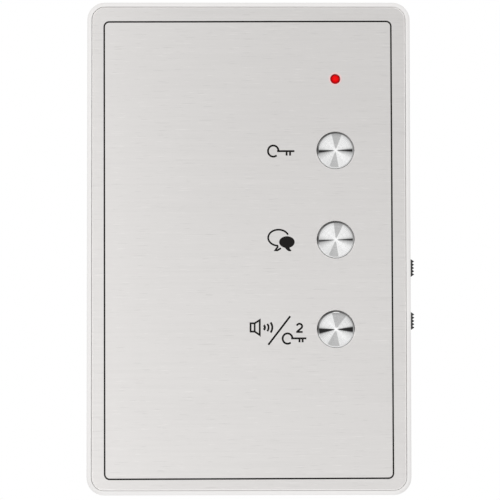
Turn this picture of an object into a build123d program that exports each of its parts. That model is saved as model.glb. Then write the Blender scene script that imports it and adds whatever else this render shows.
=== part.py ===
from build123d import *
from math import radians, tan
import os

# Hands-free intercom indoor unit for wall mounting, in millimetres.
# Every piece is drawn as if the unit lay on its back: x runs to the right, y up the wall and
# z out of the wall towards the room. stand_up() then turns it, so that the wall is the plane
# Y = 0, the metal face looks along -Y, and Z is up. The origin is the middle of the two
# wall slots in the bracket, on the wall.

# Outer size
BODY_W = 98.5
BODY_H = 150.0
BODY_D = 25.0  # from the wall to the metal face
CORNER_R = 5.4
WALL = 2.0

# Front face: a metal plate taped into a shallow recess of the moulded face
RIM_W = 1.4
RIM_DROP = 0.2  # the rim lies this far behind the metal face
RIM_ROUND = 1.0
PLATE_T = 0.8
PLATE_GAP = 0.15
PLATE_EDGE = 0.2
TAPE_T = 0.2
TAPE_MARGIN = 1.0
TAPE_HOLE_MARGIN = 0.8
FACE_T = 2.0
FACE_RIB_T = 1.0
FACE_RIB_H = 1.2
FACE_RIB_X = (-36.0, -18.0, 0.0)
FACE_RIB_Y = (-52.0, -30.0, -8.0)

# Rear half of the housing
REAR_EDGE_Z = 0.2
PARTING_Z = 7.0
FLOOR_T = 2.0
FLOOR_RIB_T = 1.0
FLOOR_RIB_H = 1.2
FLOOR_RIB_X = 26.0
FLOOR_RIB_Y = 22.0
MAGNET_ROOM = 1.5  # round the speaker's magnet, where the ribs are cut away
LAP_T = 1.0  # share of the wall that the front half keeps at the lap joint
LAP_H = 1.7
LAP_GAP = 0.15

# Housing screws
POST_INSET = 8.0  # from the outer faces to a screw post's axis
POST_R = 3.0
POST_WEB_T = 1.2
HOUSING_SCREW_R = 1.2
HOUSING_SCREW_L = 10.0
HOUSING_HEAD_R = 2.4
HOUSING_HEAD_H = 1.7
PILOT_GAP = 0.05  # round a screw's shank where it bites
CLEAR_GAP = 0.3  # round a screw's shank where it passes freely

# Circuit board
BOARD_T = 1.6
BOARD_DROP = 9.0  # from the metal face to the board
BOARD_SIDE_GAP = 2.75
BOARD_END_GAP = 10.2
BOARD_SCREW_INSET = 3.5
BOARD_SCREW_R = 1.0
BOARD_SCREW_L = 5.5
BOARD_HEAD_R = 2.2
BOARD_HEAD_H = 1.5
STANDOFF_R = 2.6
PIN_TAIL = 1.0  # how far a pin stands out beyond the board
PIN_HOLE_GAP = 0.15

# Push buttons
BUTTON_COLUMN = 22.85  # from the right-hand outer face
BUTTON_FROM_TOP = 72.6  # from the top outer face to the middle button
BUTTON_PITCH = 27.2
BUTTON_NAMES = ("speaker", "talk", "unlock")  # from the bottom up
BUTTON_R = 5.5
BUTTON_HOLE_GAP = 0.15
BUTTON_PROUD = 0.8
CAP_T = 1.2
CAP_EDGE = 0.35
PLUNGER_WALL = 1.0
PLUNGER_WEB = 2.0
FLANGE_MARGIN = 1.2  # how far the flange stands out round the piston
FLANGE_T = 1.2
FLANGE_REST = 0.2  # between the flange and the moulded face at rest
PRESS_L = 4.4
PRESS_T = 1.2
EAR_W = 2.0
EAR_REACH = 1.1
GUIDE_GAP = 0.3
GUIDE_T = 1.3
GUIDE_H = 3.0

# Push switches under the buttons
PUSH_SIDE = 6.0
PUSH_CORNER = 0.4
PUSH_BASE_H = 3.2
PUSH_COVER_T = 0.3
PUSH_COVER_INSET = 0.3
STEM_R = 1.75
STEM_L = 2.9
STEM_PROUD = 0.8
STEM_GAP = 0.1
STEM_WELL_FLOOR = 0.8
LEG_T = 0.3
LEG_W = 0.7
LEG_SPREAD = 4.5
LEG_RISE = 1.5

# Indicator lamp above the buttons
LAMP_ABOVE = 21.9  # from the top button
LAMP_R = 1.45
LAMP_PROUD = 0.3
LAMP_HOLE_GAP = 0.1
LAMP_FLANGE_MARGIN = 0.4
LAMP_FLANGE_T = 1.0
LAMP_L = 5.3
LAMP_LEAD = 0.5
LAMP_LEAD_PITCH = 2.54
SPACER_R = 2.4
COLLAR_GAP = 0.3
COLLAR_T = 0.9
COLLAR_H = 1.6

# Slide switches and their serrated knobs on the right-hand side
SLIDE_NAMES = ("talk_volume", "ring_volume")  # from the bottom up
SLIDE_FROM_TOP = (97.25, 81.05)
SLIDE_TRAVEL = 1.5  # each way from the middle position
KNOB_L = 5.65
KNOB_W = 4.0
KNOB_PROUD = 1.35
KNOB_TEETH = 5
TOOTH_PITCH = 1.0
TOOTH_H = 0.65
KNOB_END_DROP = 1.2  # how far the knob's two ends lie below its tooth tips
KNOB_SLOT_GAP = 0.2
SKIRT_T = 0.8
SKIRT_WALL_GAP = 0.3
SKIRT_MARGIN = 0.9  # how far the skirt stands out beside the knob
SKIRT_COVER = 0.1  # how far it still covers the slot's end at full travel
SOCKET_L = 1.1
SOCKET_WALL = 0.9
LEVER = 2.0
LEVER_GAP = 0.05
SWITCH_L = 12.7
SWITCH_DEPTH = 5.5
SWITCH_H = 5.0
SHELL_T = 0.4
SHELL_SLOT_GAP = 0.2
SWITCH_BASE_T = 1.9
SWITCH_TO_KNOB = 0.3
SLIDER_L = 7.2
SLIDER_GAP = 0.1
SWITCH_PIN = 0.6
SWITCH_PIN_PITCH = 2.5
SWITCH_PIN_RISE = 2.5
SWITCH_PINS = 4

# Loudspeaker behind the blank part of the face, sounding out through the left-hand side
SPEAKER_FROM_LEFT = 26.75
SPEAKER_FROM_TOP = 35.0
SPEAKER_R = 20.0
SPEAKER_RIM_W = 2.4
SPEAKER_RIM_T = 0.8
SEAT_H = 2.5  # height of the moulded ring that the speaker lies on
GASKET_T = 0.8
BASKET_H = 5.6
BASKET_R = 16.0
BASKET_T = 0.8
BASKET_WINDOW_W = 12.0
BASKET_WINDOW_LOW = 1.6
BASKET_WINDOW_HIGH = 0.8
MAGNET_R = 9.5
MAGNET_T = 2.4
COIL_R = 5.0
COIL_T = 0.4
COIL_GAP = 0.3
COIL_DIP = 0.8
DIAPHRAGM_T = 0.3
DUST_CAP_H = 0.8
CLIP_GAP = 0.2
CLIP_T = 1.6
CLIP_W = 5.0
CLIP_BITE = 0.9  # how far a snap hook reaches over the speaker's rim
CLIP_NOSE_H = 1.1
CLIP_ANGLES = (30.0, 150.0, 270.0)
TAG_STRIP_W = 3.0
TAG_STRIP_L = 6.0
TAG_STRIP_T = 1.0
TAG_STRIP_GAP = 0.3
TAG_T = 0.4
TAG_W = 1.2
TAG_PITCH = 2.54
TAG_OUT = 1.5
BOARD_SPEAKER_GAP = 1.5

# Sound slots and the mesh behind them
SOUND_SLOTS = 7
SOUND_SLOT_PITCH = 4.2
SOUND_SLOT_W = 1.6
SOUND_SLOT_L = 9.0
SOUND_SLOT_DROP = 9.5  # from the metal face to the middle of the slots
COMB_SLOTS = 3  # how many of them the speaker's seat is combed for
MESH_T = 0.3
MESH_MARGIN = 1.5

# Microphone in a rubber boot against the bottom wall
MIC_Z = 12.0
MIC_HOLE_R = 0.8
MIC_R = 3.0
MIC_L = 3.6
MIC_FRONT_T = 1.5
MIC_FIT = 0.05
BOOT_R = 4.5
BOOT_L = 6.0
CRADLE_T = 1.2
CRADLE_GAP = 0.1
CRADLE_END_Z = 9.5
MIC_TAG_L = 1.2
MIC_TAG = 0.8
MIC_TAG_PITCH = 2.5

# Terminal block and the window that it is reached through
TERMINALS = 4
TERMINAL_PITCH = 5.0
TERMINAL_W = 8.0
TERMINAL_H = 9.5
TERMINAL_Y = 9.5
TERMINAL_END = 0.4
TERMINAL_EDGE = 0.7
TERMINAL_ROOF = 2.0
WELL_R = 1.9
MOUTH_W = 3.4
MOUTH_H = 3.2
CLAMP_PLATE_T = 0.7
CLAMP_PLATE_GAP = 0.1
TERMINAL_SCREW_R = 1.6
TERMINAL_SCREW_L = 2.2
TERMINAL_SCREW_BITE = 0.7  # how far a screw reaches into its wire mouth
TERMINAL_SCREW_SLOT = 0.6
TERMINAL_PIN = 1.0
WINDOW_W = 42.0
WINDOW_H = 34.0
WINDOW_R = 3.0
WINDOW_RIB_T = 1.4
WINDOW_RIB_H = 2.2

# Wall bracket, stamped from one sheet
SHEET_T = 1.2
BRACKET_W = 82.0
BRACKET_H = 118.0
BRACKET_R = 4.0
BRACKET_WINDOW_W = 46.0
BRACKET_WINDOW_H = 40.0
BRACKET_WINDOW_R = 3.0
WALL_SLOT_SPACING = 60.0
WALL_SLOT_L = 8.0
WALL_HOLE_R = 2.1
CORNER_HOLE_SPACING_X = 64.0
CORNER_HOLE_SPACING_Y = 98.0
HOOK_X = 33.0
HOOK_Y = (-38.0, 30.0)
HOOK_W = 8.0
HOOK_LIP = 3.5
HOOK_LIFT_GAP = 0.3  # between a hook's lip and the floor of the rear half
HOOK_SEAT_GAP = 0.1
HOOK_SIDE_GAP = 0.5
HOOK_PLAY = 0.8
TONGUE_W = 12.0
TONGUE_ROOT = 2.0
TAB_SETBACK = 4.2  # from the outer bottom face to the tab
TAB_H = 4.6
LOCK_SCREW_R = 1.0
LOCK_SCREW_L = 5.0
LOCK_SCREW_GAP = 0.2
LOCK_HEAD_R = 1.9
LOCK_HEAD_H = 1.3
LOCK_HEAD_SINK = 0.05
LOCK_SCREW_Z = 2.8
LOCK_SCREW_SLOT = 0.6

# Parts on the rear of the board
CAPACITOR_X = (-12.0, 0.0, 12.0)
CAPACITOR_Y = -38.0
CAPACITOR_R = 3.15
CAPACITOR_ROOM = 1.8  # between a capacitor and the floor of the rear half
CHIP_AT = ((-16.0, -26.0), (12.0, -26.0))
CHIP_L = 10.0
CHIP_W = 4.0
CHIP_T = 1.6
HEADER_L = 6.0
HEADER_D = 4.5
HEADER_H = 4.0
SPEAKER_HEADER_X = 8.0
MIC_HEADER_RISE = 21.0  # from the inner bottom face
LEAD_W = 3.6
LEAD_T = 1.0
LEAD_END = 3.0  # straight run at each end of a lead
LEAD_SAG = 1.2  # how far a lead bows towards the wall
LEAD_BEND = 0.45  # share of the shorter run that a bend may take

# Values that follow from the ones above
CAVITY_W = BODY_W - 2 * WALL
CAVITY_H = BODY_H - 2 * WALL
CAVITY_R = CORNER_R - WALL
RIM_Z = BODY_D - RIM_DROP
PLATE_Z = BODY_D - PLATE_T
TAPE_Z = PLATE_Z - TAPE_T
BOARD_Z = BODY_D - BOARD_DROP
BOARD_BACK_Z = BOARD_Z - BOARD_T
FACE_Z = TAPE_Z - FACE_T  # inner side of the moulded face
FLOOR_Z = PARTING_Z - FLOOR_T
BOTTOM_IN_Y = -CAVITY_H / 2
SIDE_IN_X = CAVITY_W / 2
RECESS_W = BODY_W - 2 * RIM_W
RECESS_H = BODY_H - 2 * RIM_W
RECESS_R = CORNER_R - RIM_W
PLATE_W = RECESS_W - 2 * PLATE_GAP
PLATE_H = RECESS_H - 2 * PLATE_GAP
PLATE_R = RECESS_R - PLATE_GAP
POST_X = BODY_W / 2 - POST_INSET
POST_Y = BODY_H / 2 - POST_INSET
POST_AT = [(side * POST_X, end * POST_Y) for side in (-1, 1) for end in (-1, 1)]
BUTTON_X = BODY_W / 2 - BUTTON_COLUMN
BUTTON_MID_Y = BODY_H / 2 - BUTTON_FROM_TOP
BUTTON_AT = [(BUTTON_X, BUTTON_MID_Y + BUTTON_PITCH * step) for step in (-1, 0, 1)]
BUTTON_HOLE_R = BUTTON_R + BUTTON_HOLE_GAP
CAP_Z = BODY_D + BUTTON_PROUD - CAP_T  # back of a cap
FLANGE_R = BUTTON_R + FLANGE_MARGIN
FLANGE_Z = FACE_Z - FLANGE_REST
GUIDE_IN_R = FLANGE_R + GUIDE_GAP
GUIDE_OUT_R = GUIDE_IN_R + GUIDE_T
PUSH_TOP_Z = BOARD_Z + PUSH_BASE_H
STEM_TOP_Z = PUSH_TOP_Z + PUSH_COVER_T + STEM_PROUD
LAMP_Y = BUTTON_MID_Y + BUTTON_PITCH + LAMP_ABOVE
LAMP_HOLE_R = LAMP_R + LAMP_HOLE_GAP
LAMP_Z = BODY_D + LAMP_PROUD - LAMP_L  # back of the lamp
LAMP_FLANGE_R = LAMP_R + LAMP_FLANGE_MARGIN
COLLAR_IN_R = LAMP_FLANGE_R + COLLAR_GAP
BOARD_TAIL_Z = BOARD_BACK_Z - PIN_TAIL
BOARD_X = SIDE_IN_X - BOARD_SIDE_GAP
BOARD_Y = CAVITY_H / 2 - BOARD_END_GAP
SPEAKER_X = SPEAKER_FROM_LEFT - BODY_W / 2
SPEAKER_Y = BODY_H / 2 - SPEAKER_FROM_TOP
SEAT_IN_R = SPEAKER_R - SPEAKER_RIM_W
SEAT_Z = FACE_Z - SEAT_H
DIAPHRAGM_Z = SEAT_Z - GASKET_T  # front of the diaphragm
RIM_FRONT_Z = DIAPHRAGM_Z - DIAPHRAGM_T
RIM_BACK_Z = RIM_FRONT_Z - SPEAKER_RIM_T
BASKET_Z = RIM_BACK_Z - BASKET_H  # back of the basket
SOUND_SLOT_Z = BODY_D - SOUND_SLOT_DROP
NOTCH_X = SPEAKER_X + SPEAKER_R + BOARD_SPEAKER_GAP
NOTCH_Y = SPEAKER_Y - SPEAKER_R - BOARD_SPEAKER_GAP
BOARD_SCREW_X = BOARD_X - BOARD_SCREW_INSET
BOARD_SCREW_Y = BOARD_Y - BOARD_SCREW_INSET
BOARD_SCREW_AT = [
    (BOARD_SCREW_X, BOARD_SCREW_Y),
    (BOARD_SCREW_X, -BOARD_SCREW_Y),
    (-BOARD_SCREW_X, -BOARD_SCREW_Y),
    (-BOARD_SCREW_X, NOTCH_Y - BOARD_SCREW_INSET),
]
SLIDE_Y = [BODY_H / 2 - drop for drop in SLIDE_FROM_TOP]
SKIRT_X = SIDE_IN_X - SKIRT_WALL_GAP - SKIRT_T
SWITCH_X = SKIRT_X - SOCKET_L - SWITCH_TO_KNOB  # face of a slide switch's shell
SWITCH_BACK_X = SWITCH_X - SWITCH_DEPTH
SWITCH_Z = BOARD_Z + SWITCH_H / 2
SLOT_L = KNOB_L + 2 * SLIDE_TRAVEL + 2 * KNOB_SLOT_GAP
SLOT_W = KNOB_W + 2 * KNOB_SLOT_GAP
SKIRT_L = SLOT_L + 2 * SLIDE_TRAVEL + 2 * SKIRT_COVER
TAG_STRIP_X = SPEAKER_X + MAGNET_R + TAG_STRIP_GAP
TAG_X = TAG_STRIP_X + TAG_STRIP_W + TAG_OUT  # free end of the speaker's tags
TAG_Z = BASKET_Z - TAG_STRIP_T - TAG_T
CAGE_Z = BOARD_BACK_Z - TERMINAL_ROOF
MOUTH_Z = CAGE_Z - MOUTH_H
TERMINAL_X = [TERMINAL_PITCH * (step - (TERMINALS - 1) / 2) for step in range(TERMINALS)]
HOOK_AT = [(side * HOOK_X, y) for side in (-1, 1) for y in HOOK_Y]
LIP_Z = PARTING_Z + HOOK_LIFT_GAP
TAB_Y = -BODY_H / 2 + TAB_SETBACK
MIC_HEADER_Y = BOTTOM_IN_Y + MIC_HEADER_RISE
LOCK_SEAT_Y = -BODY_H / 2 + LOCK_HEAD_H + LOCK_HEAD_SINK


def block(x0, x1, y0, y1, z0, z1):
    """A box between two values on each axis."""
    middle = Pos((x0 + x1) / 2, (y0 + y1) / 2, (z0 + z1) / 2)
    return middle * Box(x1 - x0, y1 - y0, z1 - z0)


def post(x, y, half, z0, z1):
    """A square block round an axis that stands on the wall."""
    return block(x - half, x + half, y - half, y + half, z0, z1)


def disc(x, y, radius, z0, z1):
    """A cylinder round an axis that stands on the wall."""
    return Pos(x, y, (z0 + z1) / 2) * Cylinder(radius, z1 - z0)


def tube(x, y, outer, inner, z0, z1):
    return disc(x, y, outer, z0, z1) - disc(x, y, inner, z0, z1)


def discs(places, radius, z0, z1):
    return [disc(x, y, radius, z0, z1) for x, y in places]


def slab(width, height, radius, z0, z1):
    """A rounded rectangle round the origin."""
    outline = Pos(0, 0, z0) * RectangleRounded(width, height, radius)
    return extrude(outline, z1 - z0)


def upright(x, y, z, radius, length):
    """A cylinder that runs up along the wall from y."""
    plane = Plane((x, y, z), x_dir=(1, 0, 0), z_dir=(0, 1, 0))
    return extrude(plane * Circle(radius), length)


def lathe(outline, x, y):
    """Turns a closed outline of radius and depth round an axis that stands on the wall."""
    return Pos(x, y, 0) * revolve(make_face(Plane.XZ * outline), Axis.Z)


def pin_holes(places, pin, z0, z1):
    """Square holes that square pins pass."""
    return [post(x, y, pin / 2 + PIN_HOLE_GAP, z0, z1) for x, y in places]


def screw(x, y, seat_z, shank_r, shank_l, head_r, head_h):
    """A screw driven away from the wall, with its head on the plane seat_z."""
    return disc(x, y, head_r, seat_z - head_h, seat_z) + disc(x, y, shank_r, seat_z, seat_z + shank_l)


def front_housing():
    """The moulded front half, with everything that is moulded on its inside."""
    shell = slab(BODY_W, BODY_H, CORNER_R, PARTING_Z, RIM_Z)
    shell = fillet(shell.edges().group_by(Axis.Z)[-1], RIM_ROUND)
    shell -= slab(RECESS_W, RECESS_H, RECESS_R, TAPE_Z, BODY_D)
    shell -= slab(CAVITY_W, CAVITY_H, CAVITY_R, 0, FACE_Z)
    lap_w, lap_h = BODY_W - 2 * LAP_T, BODY_H - 2 * LAP_T
    shell -= slab(lap_w, lap_h, CORNER_R - LAP_T, 0, PARTING_Z + LAP_H)
    shell += [*housing_posts(), *standoffs(), *speaker_clips(), *post_webs()]
    shell += [*button_guides(), lamp_collar(), speaker_seat(), *face_ribs(), *mic_cradle()]
    shell -= discs(BUTTON_AT, BUTTON_HOLE_R, FACE_Z - GUIDE_H, BODY_D)
    shell -= disc(BUTTON_X, LAMP_Y, LAMP_HOLE_R, FACE_Z - COLLAR_H, BODY_D)
    shell -= [*knob_slots(), *sound_slots()]
    return shell - upright(0, -BODY_H / 2, MIC_Z, MIC_HOLE_R, WALL)


def housing_posts():
    hole_r = HOUSING_SCREW_R + PILOT_GAP
    return [tube(x, y, POST_R, hole_r, PARTING_Z, FACE_Z) for x, y in POST_AT]


def post_webs():
    """Webs that tie each housing post to the two walls beside it."""
    half = POST_WEB_T / 2
    low = PARTING_Z + LAP_H
    root = (HOUSING_SCREW_R + PILOT_GAP + POST_R) / 2  # where a web starts, inside the post's wall
    webs = []
    for x, y in POST_AT:
        side_x, side_y = (x > 0) - (x < 0), (y > 0) - (y < 0)
        near_x, near_y = x + side_x * root, y + side_y * root
        wall_x, wall_y = side_x * SIDE_IN_X, -side_y * BOTTOM_IN_Y
        webs.append(block(*sorted((near_x, wall_x)), y - half, y + half, low, FACE_Z))
        webs.append(block(x - half, x + half, *sorted((near_y, wall_y)), low, FACE_Z))
    return webs


def standoffs():
    hole_r = BOARD_SCREW_R + PILOT_GAP
    return [tube(x, y, STANDOFF_R, hole_r, BOARD_Z, FACE_Z) for x, y in BOARD_SCREW_AT]


def speaker_clips():
    """The three moulded snap hooks that hold the speaker by its rim."""
    inner, outer = SPEAKER_R + CLIP_GAP, SPEAKER_R + CLIP_GAP + CLIP_T
    under, end = RIM_BACK_Z, RIM_BACK_Z - CLIP_NOSE_H
    bite = SPEAKER_R - CLIP_BITE
    points = [(inner, FACE_Z), (inner, under), (bite, under), (inner, end), (outer, end), (outer, FACE_Z)]
    outline = Polyline(*points, close=True)
    clip = extrude(make_face(Plane.XZ * outline), CLIP_W / 2, both=True)
    return [Pos(SPEAKER_X, SPEAKER_Y, 0) * Rot(0, 0, angle) * clip for angle in CLIP_ANGLES]


def button_guides():
    """A ring behind each button hole, with two notches that keep the button from turning."""
    notch = EAR_W / 2 + GUIDE_GAP
    low = FACE_Z - GUIDE_H
    return [
        tube(x, y, GUIDE_OUT_R, GUIDE_IN_R, low, FACE_Z)
        - block(x - GUIDE_OUT_R, x + GUIDE_OUT_R, y - notch, y + notch, low, FACE_Z)
        for x, y in BUTTON_AT
    ]


def lamp_collar():
    """The short tube that the lamp's flange is centred in."""
    return tube(BUTTON_X, LAMP_Y, COLLAR_IN_R + COLLAR_T, COLLAR_IN_R, FACE_Z - COLLAR_H, FACE_Z)


def speaker_seat():
    """The ring that the speaker lies on, combed open towards the sound slots."""
    ring = tube(SPEAKER_X, SPEAKER_Y, SPEAKER_R, SEAT_IN_R, SEAT_Z, FACE_Z)
    half = SOUND_SLOT_W / 2
    left = SPEAKER_X - SPEAKER_R
    return ring - [
        block(left, SPEAKER_X, y - half, y + half, SEAT_Z, FACE_Z) for y in slot_heights(COMB_SLOTS)
    ]


def face_ribs():
    """Shallow crossing ribs that stiffen the blank lower part of the moulded face."""
    left, right = -SIDE_IN_X, BUTTON_X - GUIDE_IN_R
    low, high = BOTTOM_IN_Y, NOTCH_Y
    half = FACE_RIB_T / 2
    z = FACE_Z - FACE_RIB_H
    ribs = [block(x - half, x + half, low, high, z, FACE_Z) for x in FACE_RIB_X]
    return ribs + [block(left, right, y - half, y + half, z, FACE_Z) for y in FACE_RIB_Y]


def mic_cradle():
    """Two ribs that hold the microphone's boot against the bottom wall."""
    inner = BOOT_R + CRADLE_GAP
    outer = inner + CRADLE_T
    top = BOTTOM_IN_Y + BOOT_L
    return [
        block(-outer, -inner, BOTTOM_IN_Y, top, CRADLE_END_Z, FACE_Z),
        block(inner, outer, BOTTOM_IN_Y, top, CRADLE_END_Z, FACE_Z),
    ]


def knob_slots():
    """The two windows in the right-hand wall that the knobs slide in."""
    x0, x1 = SIDE_IN_X, SIDE_IN_X + WALL
    half = SLOT_L / 2
    z0, z1 = SWITCH_Z - SLOT_W / 2, SWITCH_Z + SLOT_W / 2
    return [block(x0, x1, y - half, y + half, z0, z1) for y in SLIDE_Y]


def slot_heights(count):
    """The heights of the middle sound slots."""
    return [SPEAKER_Y + SOUND_SLOT_PITCH * (step - (count - 1) / 2) for step in range(count)]


def sound_slots():
    """The row of round-ended slots in the left-hand wall."""
    outline = SlotOverall(SOUND_SLOT_L, SOUND_SLOT_W, rotation=90)
    slots = []
    for y in slot_heights(SOUND_SLOTS):
        plane = Plane((-BODY_W / 2, y, SOUND_SLOT_Z), x_dir=(0, 1, 0), z_dir=(1, 0, 0))
        slots.append(extrude(plane * outline, WALL))
    return slots


def front_plate():
    """The metal sheet of the face, with its holes and its bright bevelled edge."""
    plate = slab(PLATE_W, PLATE_H, PLATE_R, PLATE_Z, BODY_D)
    plate -= discs(BUTTON_AT, BUTTON_HOLE_R, PLATE_Z, BODY_D)
    plate -= disc(BUTTON_X, LAMP_Y, LAMP_HOLE_R, PLATE_Z, BODY_D)
    return chamfer(plate.edges().group_by(Axis.Z)[-1], PLATE_EDGE)


def plate_tape():
    """The double-sided tape that holds the metal sheet."""
    width, height = PLATE_W - 2 * TAPE_MARGIN, PLATE_H - 2 * TAPE_MARGIN
    tape = slab(width, height, PLATE_R - TAPE_MARGIN, TAPE_Z, PLATE_Z)
    tape -= discs(BUTTON_AT, BUTTON_HOLE_R + TAPE_HOLE_MARGIN, TAPE_Z, PLATE_Z)
    return tape - disc(BUTTON_X, LAMP_Y, LAMP_HOLE_R + TAPE_HOLE_MARGIN, TAPE_Z, PLATE_Z)


def rear_housing():
    """The moulded rear half: a shallow tray open to the wall, with the lap joint's tongue."""
    tray = slab(BODY_W, BODY_H, CORNER_R, REAR_EDGE_Z, PARTING_Z)
    tray -= slab(CAVITY_W, CAVITY_H, CAVITY_R, 0, FLOOR_Z)
    inset = LAP_T + LAP_GAP
    high = PARTING_Z + LAP_H - LAP_GAP
    tongue = slab(BODY_W - 2 * inset, BODY_H - 2 * inset, CORNER_R - inset, PARTING_Z, high)
    tray += tongue - slab(CAVITY_W, CAVITY_H, CAVITY_R, PARTING_Z, high)
    tray += [window_rib(), *floor_ribs()]
    tray -= slab(WINDOW_W, WINDOW_H, WINDOW_R, 0, high)
    tray -= discs(POST_AT, HOUSING_SCREW_R + CLEAR_GAP, 0, PARTING_Z)
    tray -= hook_slots()
    tray -= upright(0, -BODY_H / 2, LOCK_SCREW_Z, LOCK_HEAD_R + LOCK_SCREW_GAP, LOCK_SEAT_Y + BODY_H / 2)
    return tray - upright(0, -BODY_H / 2, LOCK_SCREW_Z, LOCK_SCREW_R + LOCK_SCREW_GAP, WALL)


def window_rib():
    """The raised edge round the window, on the wall side of the floor."""
    width, height = WINDOW_W + 2 * WINDOW_RIB_T, WINDOW_H + 2 * WINDOW_RIB_T
    return slab(width, height, WINDOW_R + WINDOW_RIB_T, FLOOR_Z - WINDOW_RIB_H, FLOOR_Z)


def floor_ribs():
    """Low ribs inside the tray, beside the window and across the unit, clear of the magnet."""
    half = FLOOR_RIB_T / 2
    high = PARTING_Z + FLOOR_RIB_H
    ribs = []
    for side in (-1, 1):
        x, y = side * FLOOR_RIB_X, side * FLOOR_RIB_Y
        ribs.append(block(x - half, x + half, BOTTOM_IN_Y, -BOTTOM_IN_Y, PARTING_Z, high))
        ribs.append(block(-SIDE_IN_X, SIDE_IN_X, y - half, y + half, PARTING_Z, high))
    magnet = disc(SPEAKER_X, SPEAKER_Y, MAGNET_R + MAGNET_ROOM, PARTING_Z, high)
    return [piece for rib in ribs for piece in (rib - magnet).solids()]


def hook_slots():
    """The slots in the floor that hang on the bracket's hooks."""
    half = HOOK_W / 2 + HOOK_SIDE_GAP
    slots = []
    for x, y in HOOK_AT:
        top = y + SHEET_T / 2 + HOOK_SEAT_GAP
        low = top - HOOK_LIP - SHEET_T - HOOK_PLAY
        slots.append(block(x - half, x + half, low, top, FLOOR_Z, PARTING_Z + FLOOR_RIB_H))
    return slots


def wall_bracket():
    """The sheet metal bracket with its bent hooks and the tab for the lock screw."""
    sheet = slab(BRACKET_W, BRACKET_H, BRACKET_R, 0, SHEET_T)
    half = TONGUE_W / 2
    sheet += block(-half, half, TAB_Y, -BRACKET_H / 2 + TONGUE_ROOT, 0, SHEET_T)
    sheet += block(-half, half, TAB_Y, TAB_Y + SHEET_T, 0, TAB_H)
    sheet -= slab(BRACKET_WINDOW_W, BRACKET_WINDOW_H, BRACKET_WINDOW_R, 0, SHEET_T)
    for side in (-1, 1):
        slot = Pos(side * WALL_SLOT_SPACING / 2, 0, 0) * SlotOverall(WALL_SLOT_L, 2 * WALL_HOLE_R)
        sheet -= extrude(slot, SHEET_T)
        x, y = side * CORNER_HOLE_SPACING_X / 2, CORNER_HOLE_SPACING_Y / 2
        sheet -= discs([(x, -y), (x, y)], WALL_HOLE_R, 0, SHEET_T)
    for x, y in HOOK_AT:
        x0, x1 = x - HOOK_W / 2, x + HOOK_W / 2
        y0, y1 = y - SHEET_T / 2, y + SHEET_T / 2
        sheet -= block(x0, x1, y1, y1 + LIP_Z + HOOK_LIP, 0, SHEET_T)
        sheet += block(x0, x1, y0, y1, 0, LIP_Z + SHEET_T)
        sheet += block(x0, x1, y0, y1 + HOOK_LIP, LIP_Z, LIP_Z + SHEET_T)
    return sheet - upright(0, TAB_Y, LOCK_SCREW_Z, LOCK_SCREW_R + PILOT_GAP, SHEET_T)


def lock_screw():
    """The screw that goes up through the bottom wall into the bracket's tab."""
    low = LOCK_SEAT_Y - LOCK_HEAD_H
    shank = upright(0, LOCK_SEAT_Y, LOCK_SCREW_Z, LOCK_SCREW_R, LOCK_SCREW_L)
    head = upright(0, low, LOCK_SCREW_Z, LOCK_HEAD_R, LOCK_HEAD_H)
    half = LOCK_SCREW_SLOT / 2
    z0, z1 = LOCK_SCREW_Z - half, LOCK_SCREW_Z + half
    return shank + head - block(-LOCK_HEAD_R, LOCK_HEAD_R, low, low + LOCK_SCREW_SLOT, z0, z1)


def housing_screws():
    size = (HOUSING_SCREW_R, HOUSING_SCREW_L, HOUSING_HEAD_R, HOUSING_HEAD_H)
    return [screw(x, y, FLOOR_Z, *size) for x, y in POST_AT]


def board_screws():
    size = (BOARD_SCREW_R, BOARD_SCREW_L, BOARD_HEAD_R, BOARD_HEAD_H)
    return [screw(x, y, BOARD_BACK_Z, *size) for x, y in BOARD_SCREW_AT]


def circuit_board():
    """The board, cut away round the speaker and drilled for screws, legs, leads and pins."""
    board = block(-BOARD_X, BOARD_X, -BOARD_Y, BOARD_Y, BOARD_BACK_Z, BOARD_Z)
    board -= block(-BOARD_X, NOTCH_X, NOTCH_Y, BOARD_Y, BOARD_BACK_Z, BOARD_Z)
    for places, pin in (
        (leg_places(), LEG_W),
        (lamp_lead_places(), LAMP_LEAD),
        (switch_pin_places(), SWITCH_PIN),
        ([(x, TERMINAL_Y) for x in TERMINAL_X], TERMINAL_PIN),
    ):
        board -= pin_holes(places, pin, BOARD_BACK_Z, BOARD_Z)
    return board - discs(BOARD_SCREW_AT, BOARD_SCREW_R + CLEAR_GAP, BOARD_BACK_Z, BOARD_Z)


def leg_places():
    """Where the push switches' legs go through the board."""
    out, up = (PUSH_SIDE + LEG_T) / 2, LEG_SPREAD / 2
    return [(x + i * out, y + j * up) for x, y in BUTTON_AT for i in (-1, 1) for j in (-1, 1)]


def push_switch_bases():
    """The moulded bases of the push switches, each with the well that its stem runs in."""
    bases = []
    for x, y in BUTTON_AT:
        base = post(x, y, PUSH_SIDE / 2, BOARD_Z, PUSH_TOP_Z)
        base = chamfer(base.edges().filter_by(Axis.Z), PUSH_CORNER)
        bases.append(base - disc(x, y, STEM_R + STEM_GAP, BOARD_Z + STEM_WELL_FLOOR, PUSH_TOP_Z))
    return bases


def push_switch_covers():
    low, high = PUSH_TOP_Z, PUSH_TOP_Z + PUSH_COVER_T
    half = PUSH_SIDE / 2 - PUSH_COVER_INSET
    return [post(x, y, half, low, high) - disc(x, y, STEM_R + STEM_GAP, low, high) for x, y in BUTTON_AT]


def push_switch_legs():
    out, along = LEG_T / 2, LEG_W / 2
    high = BOARD_Z + LEG_RISE
    return [block(x - out, x + out, y - along, y + along, BOARD_TAIL_Z, high) for x, y in leg_places()]


def switch_stem(x, y):
    """The round stem of a push switch, which the button presses on."""
    return disc(x, y, STEM_R, STEM_TOP_Z - STEM_L, STEM_TOP_Z)


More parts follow.
